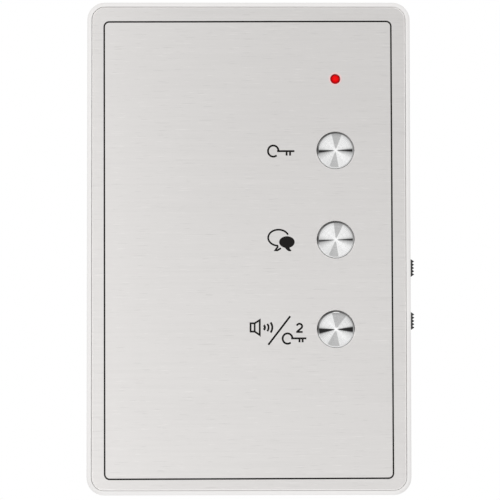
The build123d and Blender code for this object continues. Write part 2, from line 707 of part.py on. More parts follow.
def button_plunger(x, y):
    """A button's moulded body: a hollow piston, a flange with two ears and a cross-shaped boss."""
    low = FLANGE_Z - FLANGE_T
    web_z = CAP_Z - PLUNGER_WEB
    reach = FLANGE_R + EAR_REACH
    body = disc(x, y, BUTTON_R, low, CAP_Z) + disc(x, y, FLANGE_R, low, FLANGE_Z)
    body += block(x - reach, x + reach, y - EAR_W / 2, y + EAR_W / 2, low, FLANGE_Z)
    body -= disc(x, y, BUTTON_R - PLUNGER_WALL, low, web_z)
    half_l, half_t = PRESS_L / 2, PRESS_T / 2
    body += block(x - half_l, x + half_l, y - half_t, y + half_t, STEM_TOP_Z, web_z)
    return body + block(x - half_t, x + half_t, y - half_l, y + half_l, STEM_TOP_Z, web_z)


def button_cap(x, y):
    """The turned metal cap: a chamfered disc that is glued onto the plunger."""
    cap = disc(x, y, BUTTON_R, CAP_Z, CAP_Z + CAP_T)
    return chamfer(cap.edges().group_by(Axis.Z)[-1], CAP_EDGE)


def lamp_lead_places():
    return [(BUTTON_X + side * LAMP_LEAD_PITCH / 2, LAMP_Y) for side in (-1, 1)]


def indicator_lamp():
    """The lamp, with its flange behind the face and its domed tip just proud of the plate."""
    dome_z = LAMP_Z + LAMP_L - LAMP_R
    lamp = disc(BUTTON_X, LAMP_Y, LAMP_FLANGE_R, LAMP_Z, LAMP_Z + LAMP_FLANGE_T)
    lamp += disc(BUTTON_X, LAMP_Y, LAMP_R, LAMP_Z, dome_z)
    return lamp + Pos(BUTTON_X, LAMP_Y, dome_z) * Sphere(LAMP_R)


def lamp_spacer():
    spacer = disc(BUTTON_X, LAMP_Y, SPACER_R, BOARD_Z, LAMP_Z)
    return spacer - pin_holes(lamp_lead_places(), LAMP_LEAD, BOARD_Z, LAMP_Z)


def lamp_leads():
    return [post(x, y, LAMP_LEAD / 2, BOARD_TAIL_Z, LAMP_Z) for x, y in lamp_lead_places()]


def knob_outline(y):
    """A knob seen from the front: straight sides, sloping ends and a comb of equal teeth."""
    tip_x = BODY_W / 2 + KNOB_PROUD
    end_x = tip_x - KNOB_END_DROP
    half = KNOB_L / 2
    comb = []
    for tooth in range(KNOB_TEETH):
        middle = y + TOOTH_PITCH * (tooth - (KNOB_TEETH - 1) / 2)
        comb += [(tip_x - TOOTH_H, middle - TOOTH_PITCH / 2), (tip_x, middle)]
    points = [(SKIRT_X, y - half), (end_x, y - half), *comb[1:], (end_x, y + half), (SKIRT_X, y + half)]
    return make_face(Polyline(*points, close=True))


def slide_knob(y):
    """A serrated knob with the skirt behind the wall and the socket that takes the lever."""
    knob = extrude(Pos(0, 0, SWITCH_Z - KNOB_W / 2) * knob_outline(y), KNOB_W)
    half_l, half_w = SKIRT_L / 2, KNOB_W / 2 + SKIRT_MARGIN
    end = SKIRT_X + SKIRT_T
    knob += block(SKIRT_X, end, y - half_l, y + half_l, SWITCH_Z - half_w, SWITCH_Z + half_w)
    hole = LEVER / 2 + LEVER_GAP
    wall = hole + SOCKET_WALL
    inner = SKIRT_X - SOCKET_L
    knob += block(inner, SKIRT_X, y - wall, y + wall, SWITCH_Z - wall, SWITCH_Z + wall)
    return knob - block(inner, end, y - hole, y + hole, SWITCH_Z - hole, SWITCH_Z + hole)


def switch_lever(y):
    """The sliding lever of a slide switch: a block inside the shell and a square stem."""
    front = SWITCH_X - SHELL_T - SLIDER_GAP
    back = SWITCH_BACK_X + SWITCH_BASE_T + SLIDER_GAP
    half_w = SWITCH_H / 2 - SHELL_T - SLIDER_GAP
    half_l = SLIDER_L / 2
    lever = block(back, front, y - half_l, y + half_l, SWITCH_Z - half_w, SWITCH_Z + half_w)
    half = LEVER / 2
    end = SKIRT_X + SKIRT_T - LEVER_GAP
    return lever + block(front, end, y - half, y + half, SWITCH_Z - half, SWITCH_Z + half)


def slide_switch_shells():
    """The folded steel shells, open at the back, each with the slot that its lever runs in."""
    t = SHELL_T
    low, high = BOARD_Z, BOARD_Z + SWITCH_H
    reach = LEVER / 2 + SLIDE_TRAVEL + SHELL_SLOT_GAP
    half = LEVER / 2 + SHELL_SLOT_GAP
    shells = []
    for y in SLIDE_Y:
        y0, y1 = y - SWITCH_L / 2, y + SWITCH_L / 2
        shell = block(SWITCH_BACK_X, SWITCH_X, y0, y1, low, high)
        shell -= block(SWITCH_BACK_X, SWITCH_X - t, y0 + t, y1 - t, low + t, high - t)
        slot = block(SWITCH_X - t, SWITCH_X, y - reach, y + reach, SWITCH_Z - half, SWITCH_Z + half)
        shells.append(shell - slot)
    return shells


def slide_switch_bases():
    """The moulded bases that close the shells' backs."""
    half = SWITCH_L / 2 - SHELL_T
    x0, x1 = SWITCH_BACK_X, SWITCH_BACK_X + SWITCH_BASE_T
    z0, z1 = BOARD_Z + SHELL_T, BOARD_Z + SWITCH_H - SHELL_T
    return [block(x0, x1, y - half, y + half, z0, z1) for y in SLIDE_Y]


def switch_pin_places():
    x = SWITCH_BACK_X - SWITCH_PIN / 2
    steps = [SWITCH_PIN_PITCH * (step - (SWITCH_PINS - 1) / 2) for step in range(SWITCH_PINS)]
    return [(x, y + step) for y in SLIDE_Y for step in steps]


def slide_switch_pins():
    high = BOARD_Z + SWITCH_PIN_RISE
    return [post(x, y, SWITCH_PIN / 2, BOARD_TAIL_Z, high) for x, y in switch_pin_places()]


def speaker_basket():
    """The pressed frame: a flat rim and a drum with four windows and a hole for the coil."""
    inner, hole_r = BASKET_R - BASKET_T, COIL_R + COIL_GAP
    basket = lathe(
        Polyline(
            (SPEAKER_R, RIM_FRONT_Z),
            (SPEAKER_R, RIM_BACK_Z),
            (BASKET_R, RIM_BACK_Z),
            (BASKET_R, BASKET_Z),
            (hole_r, BASKET_Z),
            (hole_r, BASKET_Z + BASKET_T),
            (inner, BASKET_Z + BASKET_T),
            (inner, RIM_FRONT_Z),
            close=True,
        ),
        SPEAKER_X,
        SPEAKER_Y,
    )
    low, high = BASKET_Z + BASKET_WINDOW_LOW, RIM_BACK_Z - BASKET_WINDOW_HIGH
    half = BASKET_WINDOW_W / 2
    x, y = SPEAKER_X, SPEAKER_Y
    basket -= block(x - SPEAKER_R, x + SPEAKER_R, y - half, y + half, low, high)
    return basket - block(x - half, x + half, y - SPEAKER_R, y + SPEAKER_R, low, high)


def speaker_magnet():
    """The magnet pot, with the ring gap that the voice coil dips into."""
    magnet = disc(SPEAKER_X, SPEAKER_Y, MAGNET_R, BASKET_Z - MAGNET_T, BASKET_Z)
    outer, inner = COIL_R + COIL_GAP, COIL_R - COIL_T - COIL_GAP
    low = BASKET_Z - COIL_DIP - COIL_GAP
    return magnet - tube(SPEAKER_X, SPEAKER_Y, outer, inner, low, BASKET_Z)


def voice_coil():
    return tube(SPEAKER_X, SPEAKER_Y, COIL_R, COIL_R - COIL_T, BASKET_Z - COIL_DIP, RIM_FRONT_Z)


def speaker_diaphragm():
    """The film diaphragm, clamped between rim and gasket, with its raised dust cap."""
    film = disc(SPEAKER_X, SPEAKER_Y, SPEAKER_R, RIM_FRONT_Z, DIAPHRAGM_Z)
    return film + disc(SPEAKER_X, SPEAKER_Y, COIL_R, DIAPHRAGM_Z, DIAPHRAGM_Z + DUST_CAP_H)


def speaker_gasket():
    return tube(SPEAKER_X, SPEAKER_Y, SPEAKER_R, SEAT_IN_R, DIAPHRAGM_Z, SEAT_Z)


def speaker_tag_strip():
    """The insulating strip on the basket's back that carries the two solder tags."""
    half = TAG_STRIP_L / 2
    x0, x1 = TAG_STRIP_X, TAG_STRIP_X + TAG_STRIP_W
    return block(x0, x1, SPEAKER_Y - half, SPEAKER_Y + half, BASKET_Z - TAG_STRIP_T, BASKET_Z)


def tag_heights():
    return [SPEAKER_Y + side * TAG_PITCH / 2 for side in (-1, 1)]


def speaker_tags():
    half = TAG_W / 2
    x0 = TAG_STRIP_X + TAG_STRIP_GAP
    return [block(x0, TAG_X, y - half, y + half, TAG_Z, TAG_Z + TAG_T) for y in tag_heights()]


def sound_mesh():
    """The strip of dust mesh glued behind the sound slots."""
    half = (SOUND_SLOT_PITCH * (SOUND_SLOTS - 1) + SOUND_SLOT_W) / 2 + MESH_MARGIN
    deep = SOUND_SLOT_L / 2 + MESH_MARGIN
    y0, y1 = SPEAKER_Y - half, SPEAKER_Y + half
    return block(-SIDE_IN_X, -SIDE_IN_X + MESH_T, y0, y1, SOUND_SLOT_Z - deep, SOUND_SLOT_Z + deep)


def mic_boot():
    """The rubber boot: a cup for the capsule and a narrow canal towards the hole."""
    boot = upright(0, BOTTOM_IN_Y, MIC_Z, BOOT_R, BOOT_L)
    boot -= upright(0, BOTTOM_IN_Y, MIC_Z, MIC_HOLE_R, BOOT_L)
    return boot - upright(0, BOTTOM_IN_Y + MIC_FRONT_T, MIC_Z, MIC_R + MIC_FIT, BOOT_L)


def mic_tag_places():
    return [side * MIC_TAG_PITCH / 2 for side in (-1, 1)]


def mic_capsule():
    low = BOTTOM_IN_Y + MIC_FRONT_T
    y0, y1 = low + MIC_L, low + MIC_L + MIC_TAG_L
    half = MIC_TAG / 2
    z0, z1 = MIC_Z - half, MIC_Z + half
    tags = [block(x - half, x + half, y0, y1, z0, z1) for x in mic_tag_places()]
    return upright(0, low, MIC_Z, MIC_R, MIC_L) + tags


def terminal_block():
    """The row of screw terminals: wire mouths face down, screw wells face the wall."""
    half_l = TERMINAL_PITCH * TERMINALS / 2 + TERMINAL_END
    y0, y1 = TERMINAL_Y - TERMINAL_W / 2, TERMINAL_Y + TERMINAL_W / 2
    low = BOARD_BACK_Z - TERMINAL_H
    body = block(-half_l, half_l, y0, y1, low, BOARD_BACK_Z)
    body = chamfer(body.edges().group_by(Axis.Z)[0].filter_by(Axis.X), TERMINAL_EDGE)
    half = MOUTH_W / 2
    for x in TERMINAL_X:
        body -= block(x - half, x + half, y0, TERMINAL_Y + half, MOUTH_Z, CAGE_Z)
        body -= disc(x, TERMINAL_Y, WELL_R, low, MOUTH_Z)
        body -= post(x, TERMINAL_Y, TERMINAL_PIN / 2 + CLAMP_PLATE_GAP, CAGE_Z, BOARD_BACK_Z)
    return body


def terminal_clamps():
    """The metal plates in the mouths, each with its pin through the board."""
    half = MOUTH_W / 2 - CLAMP_PLATE_GAP
    return [
        post(x, TERMINAL_Y, half, CAGE_Z - CLAMP_PLATE_T, CAGE_Z)
        + post(x, TERMINAL_Y, TERMINAL_PIN / 2, CAGE_Z, BOARD_Z + PIN_TAIL)
        for x in TERMINAL_X
    ]


def terminal_screws():
    """The slotted clamping screws, each in its well."""
    high = MOUTH_Z + TERMINAL_SCREW_BITE
    low = high - TERMINAL_SCREW_L
    r, half = TERMINAL_SCREW_R, TERMINAL_SCREW_SLOT / 2
    y0, y1 = TERMINAL_Y - half, TERMINAL_Y + half
    return [
        disc(x, TERMINAL_Y, r, low, high) - block(x - r, x + r, y0, y1, low, low + TERMINAL_SCREW_SLOT)
        for x in TERMINAL_X
    ]


def capacitors():
    low = PARTING_Z + CAPACITOR_ROOM
    return [disc(x, CAPACITOR_Y, CAPACITOR_R, low, BOARD_BACK_Z) for x in CAPACITOR_X]


def chips():
    half_l, half_w = CHIP_L / 2, CHIP_W / 2
    z0, z1 = BOARD_BACK_Z - CHIP_T, BOARD_BACK_Z
    return [block(x - half_l, x + half_l, y - half_w, y + half_w, z0, z1) for x, y in CHIP_AT]


def lead_headers():
    """The connectors of the speaker's lead and of the microphone's."""
    along, across = HEADER_D / 2, HEADER_L / 2
    x, y = SPEAKER_HEADER_X, MIC_HEADER_Y
    z0, z1 = BOARD_BACK_Z - HEADER_H, BOARD_BACK_Z
    return [
        block(x - along, x + along, SPEAKER_Y - across, SPEAKER_Y + across, z0, z1),
        block(-across, across, y - along, y + along, z0, z1),
    ]


def flat_lead(start, across, run, rise):
    """A flat two-core lead: straight runs at both ends and a bow towards the wall between."""
    steps = [(0, 0), (LEAD_END, 0), (run / 2, rise / 2 - LEAD_SAG), (run - LEAD_END, rise), (run, rise)]
    corners = [Vector(*step) for step in steps]
    radii = []
    for before, here, after in zip(corners, corners[1:], corners[2:]):
        shorter = min((here - before).length, (after - here).length)
        turn = (here - before).get_angle(after - here)
        radii.append(LEAD_BEND * shorter / tan(radians(turn / 2)))
    print("lead bend radii", [round(radius, 2) for radius in radii])
    plane = Plane(start, x_dir=Vector(0, 0, 1).cross(Vector(*across)), z_dir=across)
    path = plane * FilletPolyline(*steps, radius=radii)
    section = Plane(path @ 0, x_dir=across, z_dir=path % 0) * Rectangle(LEAD_W, LEAD_T)
    return sweep(section, path=path)


def speaker_lead():
    """From the speaker's tags to the connector beside the cut-away of the board."""
    z0, z1 = TAG_Z + TAG_T / 2, BOARD_BACK_Z - HEADER_H / 2
    run = SPEAKER_HEADER_X - HEADER_D / 2 - TAG_X
    return flat_lead((TAG_X, SPEAKER_Y, z0), (0, -1, 0), run, z1 - z0)


def mic_lead():
    """From the capsule's tags up behind the board to its connector."""
    y0 = BOTTOM_IN_Y + MIC_FRONT_T + MIC_L + MIC_TAG_L
    run = MIC_HEADER_Y - HEADER_D / 2 - y0
    return flat_lead((0, y0, MIC_Z), (1, 0, 0), run, BOARD_BACK_Z - HEADER_H / 2 - MIC_Z)


PIECES = {
    "front_housing": front_housing,
    "front_plate": front_plate,
    "plate_tape": plate_tape,
    "rear_housing": rear_housing,
    "wall_bracket": wall_bracket,
    "lock_screw": lock_screw,
    "housing_screws": housing_screws,
    "circuit_board": circuit_board,
    "board_screws": board_screws,
    "push_switch_bases": push_switch_bases,
    "push_switch_covers": push_switch_covers,
    "push_switch_legs": push_switch_legs,
    "indicator_lamp": indicator_lamp,
    "lamp_spacer": lamp_spacer,
    "lamp_leads": lamp_leads,
    "slide_switch_shells": slide_switch_shells,
    "slide_switch_bases": slide_switch_bases,
    "slide_switch_pins": slide_switch_pins,
    "speaker_basket": speaker_basket,
    "speaker_magnet": speaker_magnet,
    "voice_coil": voice_coil,
    "speaker_diaphragm": speaker_diaphragm,
    "speaker_gasket": speaker_gasket,
    "speaker_tag_strip": speaker_tag_strip,
    "speaker_tags": speaker_tags,
    "speaker_lead": speaker_lead,
    "sound_mesh": sound_mesh,
    "microphone_boot": mic_boot,
    "microphone_capsule": mic_capsule,
    "microphone_lead": mic_lead,
    "terminal_block": terminal_block,
    "terminal_clamps": terminal_clamps,
    "terminal_screws": terminal_screws,
    "capacitors": capacitors,
    "chips": chips,
    "lead_headers": lead_headers,
}


def stand_up(shape):
    """Turns a piece, or a group of like pieces, from lying on its back to hanging on the wall."""
    pieces = shape if isinstance(shape, list) else [shape]
    solids = [solid for piece in pieces for solid in piece.solids()]
    return Rot(90, 0, 0) * Compound(children=solids)


def save(name, shape):
    export_step(stand_up(shape), f"parts/{name}.step")


os.makedirs("parts", exist_ok=True)
for name, make in PIECES.items():
    save(name, make())
for name, (button_x, button_y) in zip(BUTTON_NAMES, BUTTON_AT):
    save(f"{name}_button_cap", button_cap(button_x, button_y))
    save(f"{name}_button_plunger", button_plunger(button_x, button_y))
    save(f"{name}_switch_stem", switch_stem(button_x, button_y))
for name, slide_y in zip(SLIDE_NAMES, SLIDE_Y):
    save(f"{name}_knob", slide_knob(slide_y))
    save(f"{name}_lever", switch_lever(slide_y))
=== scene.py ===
import math

import bmesh
import bpy
from mathutils import Matrix, Vector

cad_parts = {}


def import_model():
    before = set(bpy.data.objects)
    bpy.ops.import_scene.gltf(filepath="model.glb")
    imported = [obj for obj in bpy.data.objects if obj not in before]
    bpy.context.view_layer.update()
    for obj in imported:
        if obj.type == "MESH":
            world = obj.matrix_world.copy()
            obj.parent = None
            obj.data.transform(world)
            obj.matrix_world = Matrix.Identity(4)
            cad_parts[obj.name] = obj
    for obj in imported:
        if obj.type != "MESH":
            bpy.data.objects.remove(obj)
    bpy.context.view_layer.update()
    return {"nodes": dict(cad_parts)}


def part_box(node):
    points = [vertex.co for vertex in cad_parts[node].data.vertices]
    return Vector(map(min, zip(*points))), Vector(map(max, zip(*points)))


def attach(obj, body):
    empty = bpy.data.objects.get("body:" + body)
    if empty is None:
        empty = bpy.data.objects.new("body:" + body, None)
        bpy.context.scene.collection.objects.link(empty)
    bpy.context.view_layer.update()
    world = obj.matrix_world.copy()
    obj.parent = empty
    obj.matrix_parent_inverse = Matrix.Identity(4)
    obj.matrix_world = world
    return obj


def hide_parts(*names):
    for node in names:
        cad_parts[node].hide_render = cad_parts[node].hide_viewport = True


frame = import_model()
NODES = frame["nodes"]
MM = 0.001


# Places and sizes in millimetres: X to the right, Y into the wall, Z up
def corners(node):
    """A CAD node's lowest and highest corner in millimetres."""
    return [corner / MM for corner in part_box(node)]


def middle(node):
    """The middle of a CAD node's box in millimetres."""
    low, high = corners(node)
    return (low + high) / 2


BUTTONS = ("unlock", "talk", "speaker")
BUTTON_X = middle("unlock_button_cap").x
BUTTON_Z = {name: middle(f"{name}_button_cap").z for name in BUTTONS}
CAP_FACE_Y = corners("unlock_button_cap")[0].y
CAP_FLAT_R = 5.15  # where a cap's bevel starts
CAP_HOLE_R = 5.65
LAMP_FRONT_Y = corners("indicator_lamp")[0].y
LAMP_Z = middle("indicator_lamp").z
LAMP_HOLE_R = 1.55
LAMP_DARK_R = 1.6  # where the lens is darkest
PLATE_LOW, PLATE_HIGH = corners("front_plate")
PLATE_R = 3.85
FACE_Y = PLATE_LOW.y
FOOT_Z = corners("front_housing")[0].z
INK_T = 0.02  # how thick the print is

# Each hole of the plate: its middle, its radius, and how flat the upper half of its edge is rolled
HOLES = [((BUTTON_X, FACE_Y, LAMP_Z), LAMP_HOLE_R, 1.0)]
HOLES += [((BUTTON_X, FACE_Y, z), CAP_HOLE_R, 0.55) for z in BUTTON_Z.values()]


# Materials
class Look:
    """One procedural material, built from small steps round a Principled shader. Places and
    distances in it are in millimetres."""

    def __init__(self, name, color, roughness, metallic=0.0, **sockets):
        self.material = bpy.data.materials.new(name)
        self.material.use_nodes = True
        self.tree = self.material.node_tree
        self.shader = self.tree.nodes["Principled BSDF"]
        self.set("Base Color", (*color, 1.0))
        self.set("Roughness", roughness)
        self.set("Metallic", metallic)
        for socket, value in sockets.items():
            self.set(socket.replace("_", " "), value)

    def set(self, socket, value):
        self.shader.inputs[socket].default_value = value

    def node(self, kind, **settings):
        made = self.tree.nodes.new(kind)
        for key, value in settings.items():
            setattr(made, key, value)
        return made

    def link(self, source, target):
        """Joins an output to an input, or writes a number or a tuple there."""
        if isinstance(source, (int, float, tuple)):
            target.default_value = source
        else:
            self.tree.links.new(source, target)

    def place(self, scale=1, shift=(0, 0, 0)):
        """Where a point of the object is, stretched by scale."""
        scale = scale if isinstance(scale, tuple) else (scale,) * 3
        mapping = self.node("ShaderNodeMapping")
        self.link(self.node("ShaderNodeTexCoord").outputs["Object"], mapping.inputs["Vector"])
        mapping.inputs["Scale"].default_value = tuple(share / MM for share in scale)
        mapping.inputs["Location"].default_value = shift
        return mapping.outputs["Vector"]

    def noise(self, scale, detail=3.0, rough=0.55, shift=(0, 0, 0)):
        made = self.node("ShaderNodeTexNoise")
        made.inputs["Scale"].default_value = 1.0
        made.inputs["Detail"].default_value = detail
        made.inputs["Roughness"].default_value = rough
        self.link(self.place(scale, shift), made.inputs["Vector"])
        return made.outputs["Fac"]

    def voronoi(self, scale, feature="F1", distance="EUCLIDEAN", randomness=1.0, out="Distance"):
        made = self.node("ShaderNodeTexVoronoi", feature=feature, distance=distance)
        made.inputs["Scale"].default_value = 1.0
        made.inputs["Randomness"].default_value = randomness
        self.link(self.place(scale), made.inputs["Vector"])
        return made.outputs[out]

    def math(self, operation, first, *others):
        """One operation on a value alone, or from it through all the others in turn."""
        result = first
        for other in others or (0.0,):
            made = self.node("ShaderNodeMath", operation=operation)
            self.link(result, made.inputs[0])
            self.link(other, made.inputs[1])
            result = made.outputs[0]
        return result

    def vector_math(self, operation, first, other=(0.0, 0.0, 0.0)):
        made = self.node("ShaderNodeVectorMath", operation=operation)
        self.link(first, made.inputs[0])
        self.link(other, made.inputs[1])
        return made.outputs["Value" if operation in ("LENGTH", "DISTANCE") else "Vector"]

    def vector(self, x=0.0, y=0.0, z=0.0):
        made = self.node("ShaderNodeCombineXYZ")
        for value, socket in zip((x, y, z), made.inputs):
            self.link(value, socket)
        return made.outputs[0]

    def axes(self, vector):
        """A vector's X, Y and Z."""
        made = self.node("ShaderNodeSeparateXYZ")
        self.link(vector, made.inputs[0])
        return made.outputs

    def away(self, spot):
        """How far a point of the object is from a spot."""
        return self.vector_math("DISTANCE", self.place(), spot)

    def ramp(self, value, stops):
        """A tone or colour for each value from 0 to 1, from stops of a value and its tone or colour."""
        made = self.node("ShaderNodeValToRGB")
        elements = made.color_ramp.elements
        while len(elements) < len(stops):
            elements.new(0.5)
        for element, (at, tone) in zip(elements, stops):
            element.position = at
            element.color = (*tone, 1.0) if isinstance(tone, tuple) else (tone, tone, tone, 1.0)
        self.link(value, made.inputs["Fac"])
        return made.outputs["Color"]

    def spread(self, value, low, high, to_low, to_high):
        """Maps low..high to to_low..to_high."""
        made = self.node("ShaderNodeMapRange")
        sockets = ("From Min", "From Max", "To Min", "To Max")
        for socket, number in zip(sockets, (low, high, to_low, to_high)):
            made.inputs[socket].default_value = number
        self.link(value, made.inputs["Value"])
        return made.outputs["Result"]

    def mix(self, share, first, second, blend="MIX"):
        made = self.node("ShaderNodeMix", data_type="RGBA", blend_type=blend)
        self.link(share, made.inputs[0])
        for value, socket in ((first, made.inputs[6]), (second, made.inputs[7])):
            self.link((*value, 1.0) if isinstance(value, tuple) else value, socket)
        return made.outputs[2]

    def tint(self, color, level, share=1.0):
        return self.mix(share, color, level, "MULTIPLY")

    def color(self, value):
        self.link(value, self.shader.inputs["Base Color"])

    def roughness(self, value):
        self.link(value, self.shader.inputs["Roughness"])

    def bump(self, height, depth):
        made = self.node("ShaderNodeBump")
        made.inputs["Distance"].default_value = depth * MM
        made.inputs["Strength"].default_value = 1.0
        self.link(height, made.inputs["Height"])
        self.link(made.outputs["Normal"], self.shader.inputs["Normal"])
        return made.outputs["Normal"]

    def flatten(self, share, normal):
        """Shades a narrow edge as if it lay flat in the face, where it is rolled or polished over."""
        made = self.node("ShaderNodeMix", data_type="VECTOR")
        self.link(share, made.inputs[0])
        self.link(normal, made.inputs[4])
        made.inputs[5].default_value = (0.0, -1.0, 0.0)
        self.link(made.outputs[1], self.shader.inputs["Normal"])


def dress(look, *names):
    """Gives a material to CAD nodes, whose shapes are right as they are."""
    for name in names:
        for slot in NODES[name].material_slots:
            slot.material = look.material


def moulded(name, color, roughness, grain, depth=0.006, cloud=0.02, foot=None):
    """Moulded plastic: a fine eroded grain, faint flow clouds and a little gloss variation. A foot is
    how much lighter the colour is painted along the unit's lower rounding: painted light, as if lit from
    below."""
    look = Look(name, color, roughness)
    fine = look.noise(grain, detail=4.0, rough=0.6)
    clouds = look.noise(0.05, detail=2.0, shift=(3.1, 1.7, 0.4))
    dark = tuple(part * (1 - cloud * 2) for part in color)
    light = tuple(min(1.0, part * (1 + cloud)) for part in color)
    tone = look.mix(look.spread(clouds, 0.35, 0.65, 0.0, 1.0), dark, light)
    # Painted light: the colour is made lighter along the lower rounding, as if light came from below
    if foot:
        height = look.axes(look.place())["Z"]
        tone = look.tint(tone, look.spread(height, FOOT_Z + 0.1, FOOT_Z + 1.1, foot, 1.0))
    look.color(tone)
    look.roughness(look.spread(fine, 0.3, 0.7, roughness - 0.06, roughness + 0.08))
    look.bump(fine, depth)
    return look


def metal(name, color, roughness, spangle=0.0, streak=3.0):
    """Plated or bare metal: faint mottling, streaks along one axis where it is drawn, and the
    crystals of a hot zinc bath where it has spangle."""
    look = Look(name, color, roughness, metallic=1.0)
    fine = look.noise(streak, detail=4.0)
    dark = tuple(part * 0.88 for part in color)
    tone = look.mix(look.spread(fine, 0.35, 0.65, 0.0, 1.0), dark, color)
    if spangle:
        cells = look.node("ShaderNodeSeparateColor")
        look.link(look.voronoi(spangle, out="Color"), cells.inputs[0])
        tone = look.tint(tone, look.spread(cells.outputs[0], 0.0, 1.0, 0.90, 1.05))
    look.color(tone)
    look.roughness(look.spread(fine, 0.3, 0.7, roughness - 0.07, roughness + 0.09))
    look.bump(fine, 0.004)
    return look


# The housing and the plate's tape
housing = moulded("housing_white_plastic", (0.85, 0.836, 0.826), 0.42, grain=5.0, cloud=0.008, foot=1.12)
dress(housing, "front_housing", "rear_housing")
dress(moulded("tape_black_foam", (0.02, 0.02, 0.02), 0.8, grain=12.0, depth=0.02), "plate_tape")

# The plate
PLATE_TONE = (0.599, 0.585, 0.575)
# The colour of the painted glow that the lit lamp casts on the plate round it
LAMP_GLOW = (0.86, 0.53, 0.52)
EDGE_FULL, EDGE_END = 0.20, 0.25  # how far from an outline its edge is rolled wholly, and at all


def plate_edges(look):
    """How far a point is from the plate's outline and from its nearest hole, and how flat the edge
    is rolled there: most in a hole's lower half, along the plate's foot and at its right corners."""
    x, _, z = look.axes(look.place())
    past = [
        look.math("SUBTRACT", look.math("ABSOLUTE", value), half - PLATE_R)
        for value, half in ((x, PLATE_HIGH.x), (z, PLATE_HIGH.z))
    ]
    reach = look.vector_math("LENGTH", look.vector(*[look.math("MAXIMUM", value, 0.0) for value in past]))
    inside = look.math("MINIMUM", look.math("MAXIMUM", *past), 0.0)
    from_rim = look.math("SUBTRACT", PLATE_R, look.math("ADD", reach, inside))
    at_foot = look.spread(z, PLATE_LOW.z + 0.15, PLATE_LOW.z + 2.45, 0.8, 0.0)
    at_corner = look.spread(look.math("MINIMUM", *past), 0.0, 1.0, 0.0, 0.45)
    at_right = look.math("MULTIPLY", at_corner, look.spread(x, -1.0, 1.0, 0.0, 1.0))
    rim = look.spread(from_rim, EDGE_FULL, EDGE_END, 1.0, 0.0)
    rolled = look.math("MULTIPLY", rim, look.math("MAXIMUM", at_foot, at_right))
    from_hole = 1000.0
    for spot, radius, upper in HOLES:
        edge = look.math("SUBTRACT", look.away(spot), radius)
        from_hole = look.math("MINIMUM", edge, from_hole)
        share = look.spread(z, spot[2] - 2.5, spot[2], 1.0, upper)
        band = look.math("MULTIPLY", look.spread(edge, EDGE_FULL, EDGE_END, 1.0, 0.0), share)
        rolled = look.math("MAXIMUM", band, rolled)
    return from_rim, from_hole, rolled


def brushed_plate():
    """The face: satin steel, brushed from side to side, with short bright and dark dashes, a painted
    highlight along its edges and a painted red glow round the lamp.
    """
    look = Look("face_brushed_steel", PLATE_TONE, 0.34, metallic=1.0)
    fine = look.noise((0.05, 1.0, 4.5), detail=5.0, rough=0.65)
    broad = look.noise((0.018, 1.0, 0.9), detail=3.0, rough=0.6, shift=(0.7, 0.0, 2.3))
    cloud = look.noise((0.012, 0.012, 0.016), detail=1.0, shift=(4.2, 0.3, 1.1))
    scratch = look.noise((0.03, 1.0, 6.0), detail=2.0, rough=0.5, shift=(9.1, 0.0, 5.2))
    dash = look.noise((0.15, 1.0, 3.0), detail=2.0, rough=0.5, shift=(2.4, 0.0, 8.3))
    from_rim, from_hole, rolled = plate_edges(look)
    level = look.math(
        "MULTIPLY",
        look.spread(fine, 0.25, 0.75, 0.986, 1.012),
        look.spread(broad, 0.25, 0.75, 0.978, 1.02),
        look.spread(cloud, 0.3, 0.7, 0.985, 1.012),
        look.spread(scratch, 0.65, 0.70, 1.0, 0.925),
        look.spread(dash, 0.64, 0.68, 1.0, 0.91),
        look.spread(dash, 0.32, 0.36, 1.07, 1.0),
        # Painted highlight: a hair-thin band along every edge and round every hole is painted lighter
        look.spread(from_rim, 0.10, 0.32, 1.55, 1.0),
        look.spread(from_hole, 0.18, 0.32, 1.12, 1.0),
    )
    # Painted glow: the plate is tinted red close round the lamp, where its light falls
    lit = look.spread(look.away((BUTTON_X, FACE_Y, LAMP_Z)), 1.65, 2.20, 0.70, 0.0)  # close by the lamp
    look.color(look.mix(lit, look.tint(PLATE_TONE, level), LAMP_GLOW))
    look.roughness(look.spread(fine, 0.3, 0.7, 0.29, 0.39))
    look.set("Anisotropic", 0.6)
    look.link(look.vector(z=1.0), look.shader.inputs["Tangent"])
    look.flatten(rolled, look.bump(fine, 0.006))
    return look


dress(brushed_plate(), "front_plate")

# The caps' painted reflection, a tone at each angle, standing in for what turned steel reflects. Angles are
# in degrees, from the right, upwards
FAN_BLACK, FAN_GREY = 0.022, 0.455
WEDGE_SOFT = 1.5  # half of a grey wedge's soft edge
FLANK_END = 27  # how far past a dark wedge the tone of the quadrant is reached
UPPER_FLANK = ((1.5, 0.25), (5, 0.58), (10, 0.67))  # degrees past a dark wedge's edge, and the tone
LOWER_FLANK = ((1.5, 0.20), (6, 0.42), (14, 0.55))
WIDE_FLANK = ((2, 0.25), (6, 0.52), (14, 0.62))
FANS = {
    "unlock": {
        "dark": (-3.5, 3.0, 180.5, 187.0), "lower_flank": LOWER_FLANK,
        "grey_top": (69, 104), "grey_bottom": (249, 280), "quadrants": (0.73, 0.74, 0.71, 0.77),
    },
    "talk": {
        "dark": (-1.7, 2.4, 182.5, 185.5), "lower_flank": LOWER_FLANK,
        "grey_top": (64, 97), "grey_bottom": (245, 279), "quadrants": (0.74, 0.76, 0.71, 0.78),
    },
    "speaker": {
        "dark": (-8.0, 7.0, 178.0, 193.0), "lower_flank": WIDE_FLANK,
        "grey_top": (53, 104), "grey_bottom": (240, 282), "quadrants": (0.69, 0.74, 0.71, 0.74),
    },
}
# How bright each cap's painted reflection is painted
FAN_LEVEL = {"unlock": 1.0, "talk": 0.97, "speaker": 0.92}
